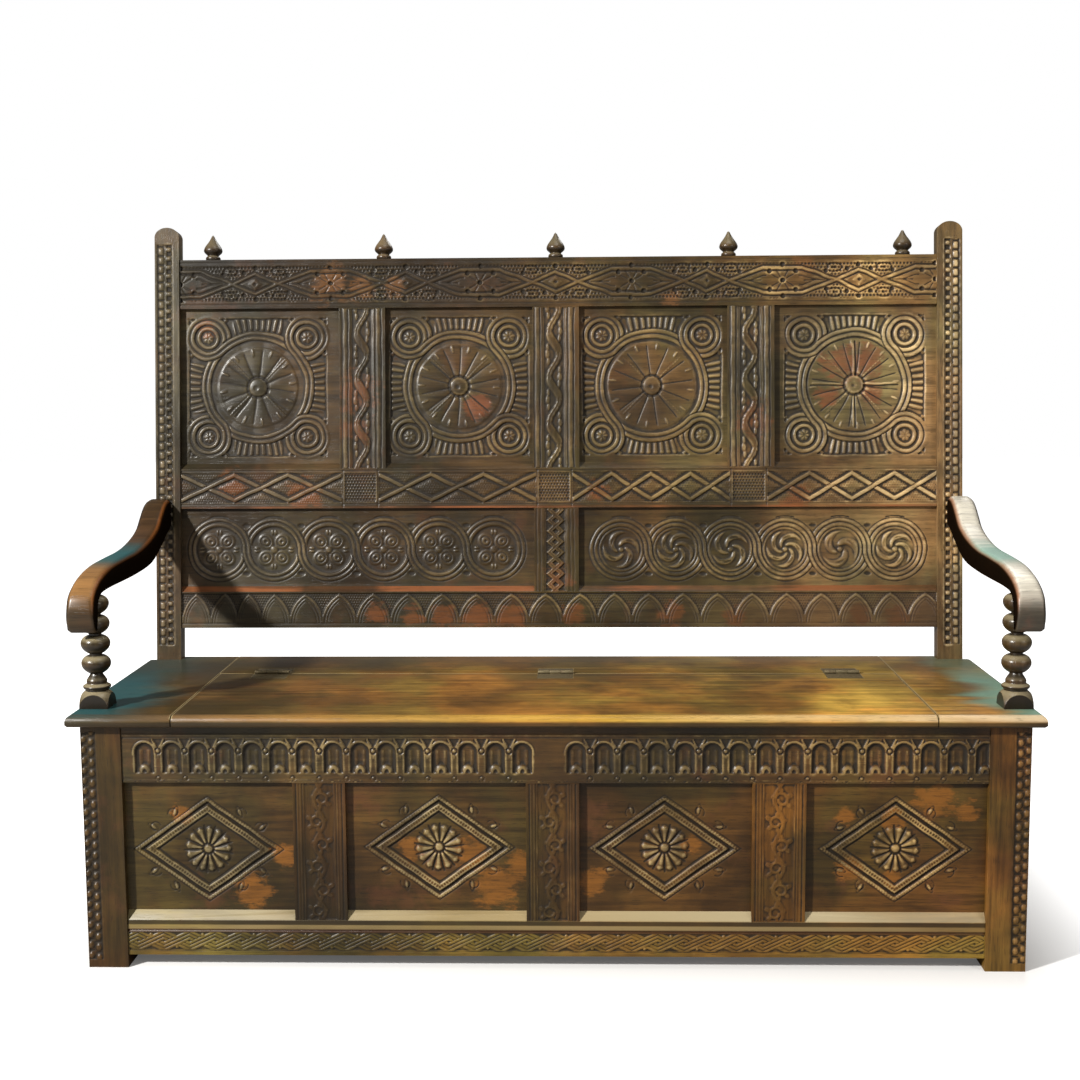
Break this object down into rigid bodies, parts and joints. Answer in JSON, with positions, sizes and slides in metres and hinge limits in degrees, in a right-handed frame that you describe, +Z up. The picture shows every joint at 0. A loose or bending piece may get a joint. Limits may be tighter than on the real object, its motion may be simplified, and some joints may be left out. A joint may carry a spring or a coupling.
{
  "type": "settle bench",
  "caption": "Joined box settle: raked back of carved panels, scrolled arms on turned supports, and a hinged seat lid over a storage chest.",
  "frame": {"origin": "middle of the bounding box on the floor: centre of the width and of the depth from the seat's front edge to the top of the back", "axes": "+Z up, the front of the bench faces -Y, +X runs along the seat to the sitter's left-hand end as seen from the front right"},
  "size_m": [1.78, 0.673, 1.416],
  "materials": {
    "oak_carved": "old waxed oak, dark in the ground of the carving and lighter on the worn high parts",
    "oak_seat": "old waxed oak, warm brown and worn smooth, with a low sheen",
    "oak_plain": "old oak, plain and dull",
    "hinge_iron": "old iron, dull brown-grey"
  },
  "bodies": {
    "frame": {"arm_left": "oak_carved", "arm_right": "oak_carved", "arm_support_left": "oak_carved", "arm_support_right": "oak_carved", "back_bottom_rail": "oak_carved", "back_lower_muntin": "oak_carved", "back_lower_panel_left": "oak_carved", "back_lower_panel_right": "oak_carved", "back_mid_rail": "oak_carved", "back_post_left": "oak_carved", "back_post_right": "oak_carved", "back_top_rail": "oak_carved", "back_upper_muntin_1": "oak_carved", "back_upper_muntin_2": "oak_carved", "back_upper_muntin_3": "oak_carved", "back_upper_panel_1": "oak_carved", "back_upper_panel_2": "oak_carved", "back_upper_panel_3": "oak_carved", "back_upper_panel_4": "oak_carved", "chest_floor_board": "oak_plain", "finial_1": "oak_carved", "finial_2": "oak_carved", "finial_3": "oak_carved", "finial_4": "oak_carved", "finial_5": "oak_carved", "frieze_rail": "oak_carved", "front_bottom_rail": "oak_carved", "front_muntin_1": "oak_carved", "front_muntin_2": "oak_carved", "front_muntin_3": "oak_carved", "front_panel_1": "oak_carved", "front_panel_2": "oak_carved", "front_panel_3": "oak_carved", "front_panel_4": "oak_carved", "front_post_left": "oak_carved", "front_post_right": "oak_carved", "hinge_fixed_leaf_1": "hinge_iron", "hinge_fixed_leaf_2": "hinge_iron", "hinge_fixed_leaf_3": "hinge_iron", "rear_bottom_rail": "oak_plain", "rear_panel": "oak_plain", "rear_top_rail": "oak_plain", "seat_bearer_left": "oak_plain", "seat_bearer_right": "oak_plain", "seat_end_board_left": "oak_seat", "seat_end_board_right": "oak_seat", "seat_rear_board": "oak_seat", "side_left_bottom_rail": "oak_plain", "side_left_panel": "oak_plain", "side_left_top_rail": "oak_plain", "side_right_bottom_rail": "oak_plain", "side_right_panel": "oak_plain", "side_right_top_rail": "oak_plain"},
    "lid": {"hinge_moving_leaf_1": "hinge_iron", "hinge_moving_leaf_2": "hinge_iron", "hinge_moving_leaf_3": "hinge_iron", "lid_batten_left": "oak_plain", "lid_batten_right": "oak_plain", "seat_lid": "oak_seat"}
  },
  "joints": [
    {"name": "lid_hinge", "type": "hinge", "parent": "frame", "child": "lid", "pos_m": [0, 0.05223, 0.488], "axis": [-1, 0, 0], "range_deg": [0, 118]}
  ]
}
